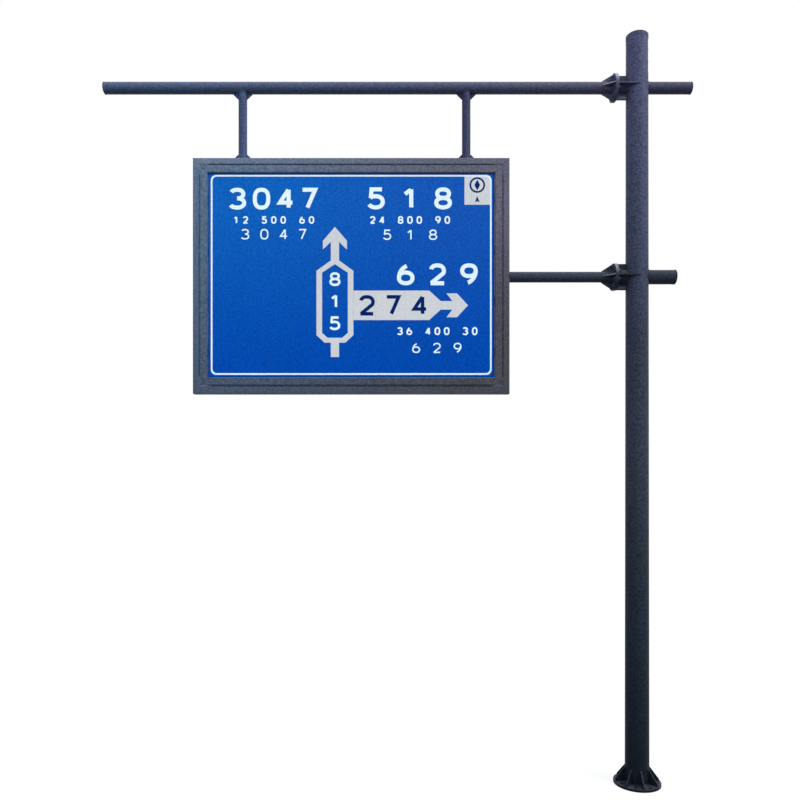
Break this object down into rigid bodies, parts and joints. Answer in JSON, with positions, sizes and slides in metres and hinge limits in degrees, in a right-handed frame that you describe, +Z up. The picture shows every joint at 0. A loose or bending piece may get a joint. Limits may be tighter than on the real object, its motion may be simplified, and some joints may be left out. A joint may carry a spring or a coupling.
{
  "type": "cantilever sign gantry",
  "caption": "Cantilever road sign gantry: a tapered round steel mast with an upper arm that holds a framed blue sign on hangers, and a lower arm bracing the frame.",
  "frame": {"origin": "middle of the foot flange's underside, on the ground", "axes": "+Z up along the mast, arms reach towards -X, the sign faces -Y"},
  "size_m": [5.867, 0.46, 7.469],
  "materials": {
    "mast_paint": "dark blue-grey paint, satin",
    "arm_paint": "dark blue-grey paint, satin",
    "frame_paint": "dark grey paint, satin",
    "sign_face": "blue retroreflective sheeting on aluminium sheet",
    "rail_paint": "dark grey paint, satin"
  },
  "bodies": {
    "root": {"mast_shaft": "mast_paint", "mast_cap": "mast_paint", "foot_flange": "mast_paint", "foot_ribs": "mast_paint", "upper_stub_tube": "arm_paint", "upper_stub_cap": "arm_paint", "upper_stub_flange": "arm_paint", "upper_stub_ribs": "arm_paint", "lower_stub_tube": "arm_paint", "lower_stub_cap": "arm_paint", "lower_stub_flange": "arm_paint", "lower_stub_ribs": "arm_paint", "upper_arm_tube": "arm_paint", "upper_arm_cap": "arm_paint", "upper_arm_flange": "arm_paint", "upper_arm_ribs": "arm_paint", "lower_arm_tube": "arm_paint", "lower_arm_flange": "arm_paint", "lower_arm_ribs": "arm_paint", "left_hanger": "arm_paint", "right_hanger": "arm_paint", "left_hanger_gussets": "arm_paint", "right_hanger_gussets": "arm_paint", "outer_frame_bottom": "frame_paint", "outer_frame_top": "frame_paint", "outer_frame_left": "frame_paint", "outer_frame_right": "frame_paint", "inner_frame_bottom": "frame_paint", "inner_frame_top": "frame_paint", "inner_frame_left": "frame_paint", "inner_frame_right": "frame_paint", "sign_panel": "sign_face", "panel_rail_1": "rail_paint", "panel_rail_2": "rail_paint", "panel_rail_3": "rail_paint", "panel_rail_4": "rail_paint"}
  },
  "joints": []
}
